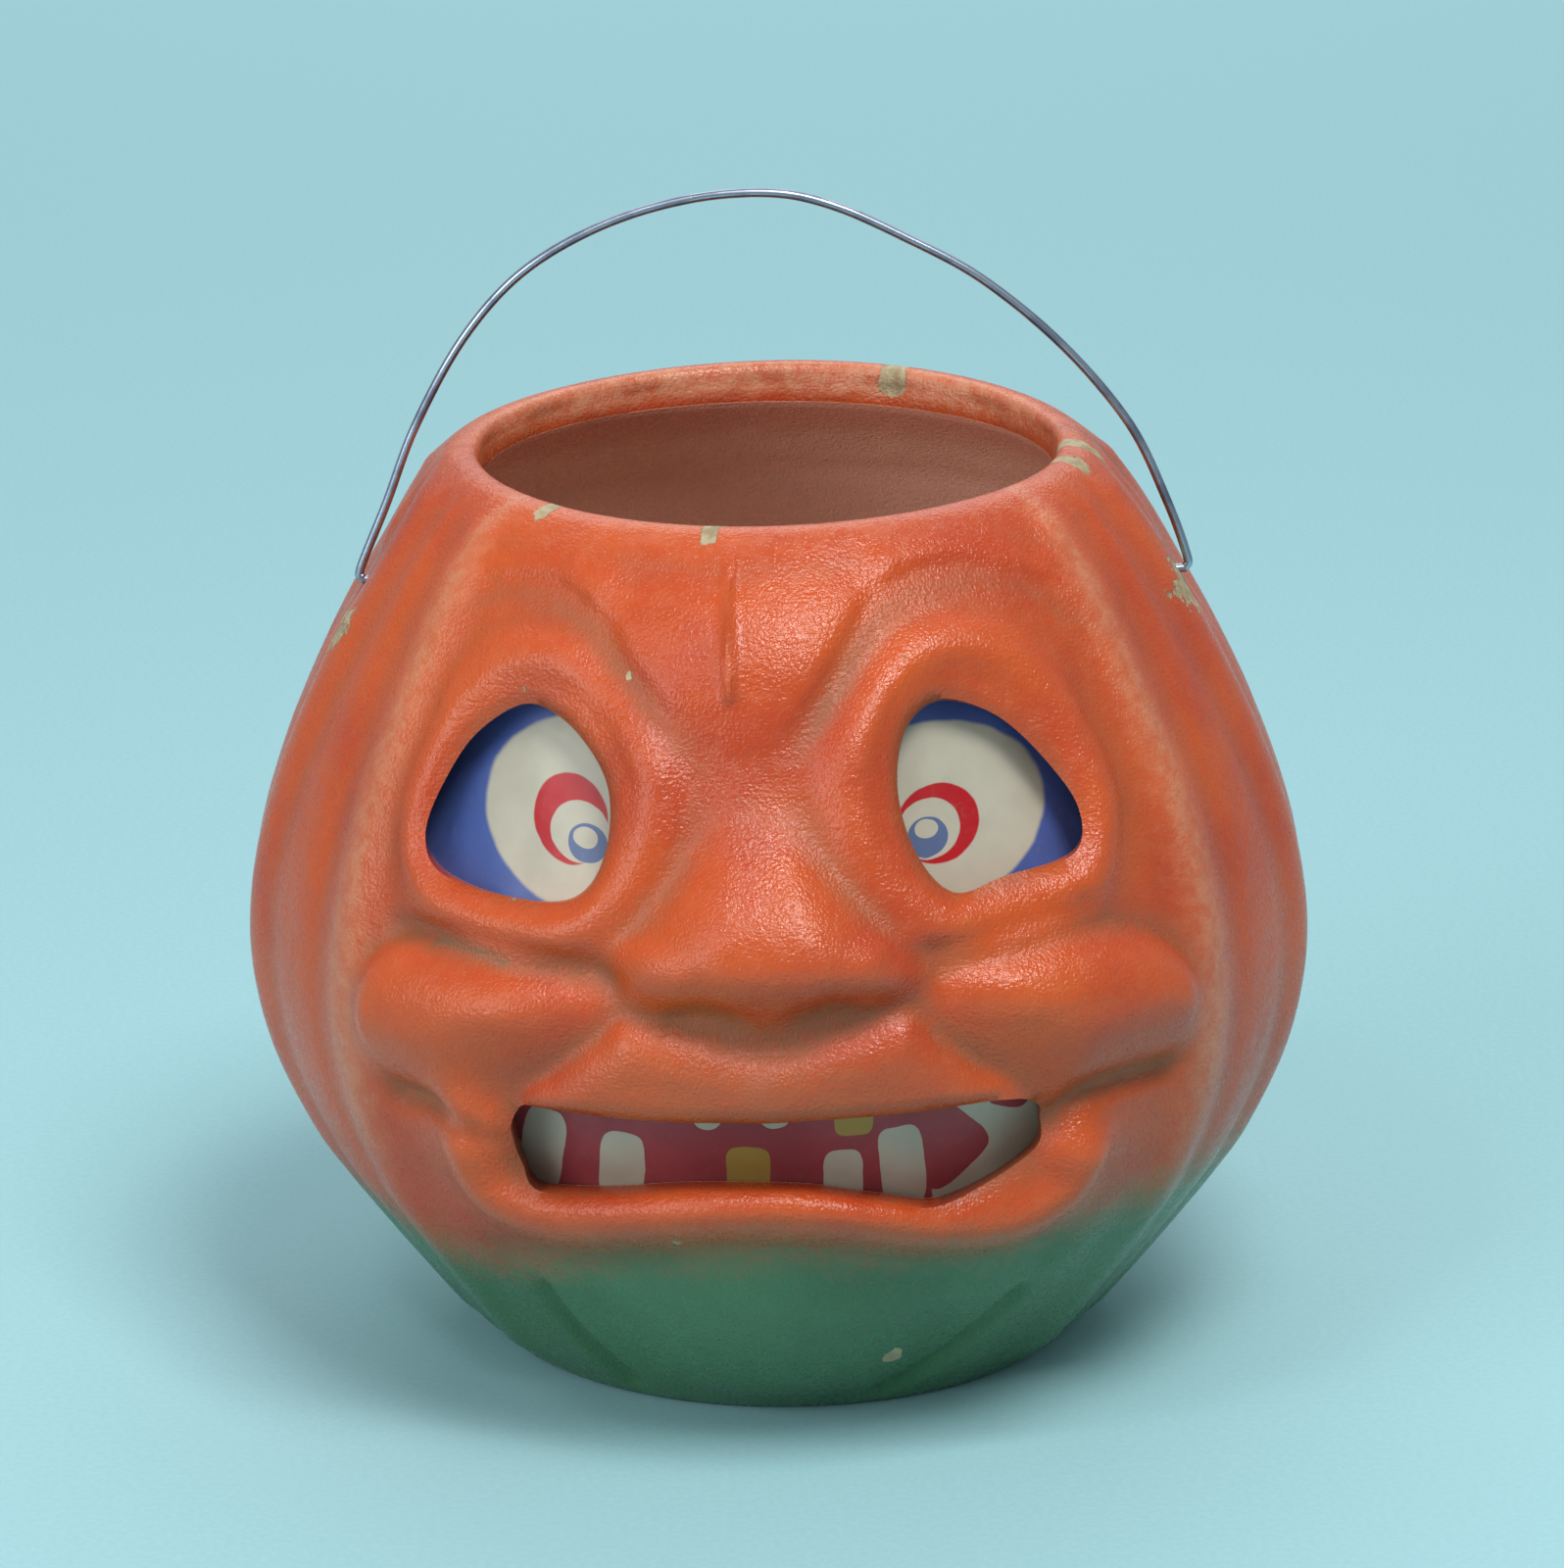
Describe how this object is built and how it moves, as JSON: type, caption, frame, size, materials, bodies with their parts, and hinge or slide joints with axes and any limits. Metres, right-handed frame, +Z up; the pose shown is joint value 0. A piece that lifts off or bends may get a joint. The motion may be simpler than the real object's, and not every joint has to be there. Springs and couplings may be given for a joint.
{
  "type": "pumpkin candy pail",
  "caption": "Moulded pulp jack-o'-lantern candy pail with a scowling face, printed paper behind the eyes and mouth, and a swinging wire bail.",
  "frame": {"origin": "centre of the flat base, on the floor", "axes": "+Z is up, the face looks along -Y, and +X is to the viewer's right as they look at the face"},
  "size_m": [0.1608, 0.1683, 0.1793],
  "materials": {
    "painted_pulp": "satin orange paint over moulded pulp",
    "printed_paper": "slightly glossy printed paper",
    "bail_wire": "bright drawn wire"
  },
  "bodies": {
    "pail": {"front_shell": "painted_pulp", "back_shell": "painted_pulp", "left_eye_insert": "printed_paper", "right_eye_insert": "printed_paper", "mouth_insert": "printed_paper"},
    "bail": {"wire_bail": "bail_wire"}
  },
  "joints": [
    {"name": "bail_hinge", "type": "hinge", "parent": "pail", "child": "bail", "pos_m": [-0.00177, 0, 0.11937], "axis": [0.9999, 0, 0.0148], "range_deg": [-45, 45]}
  ]
}
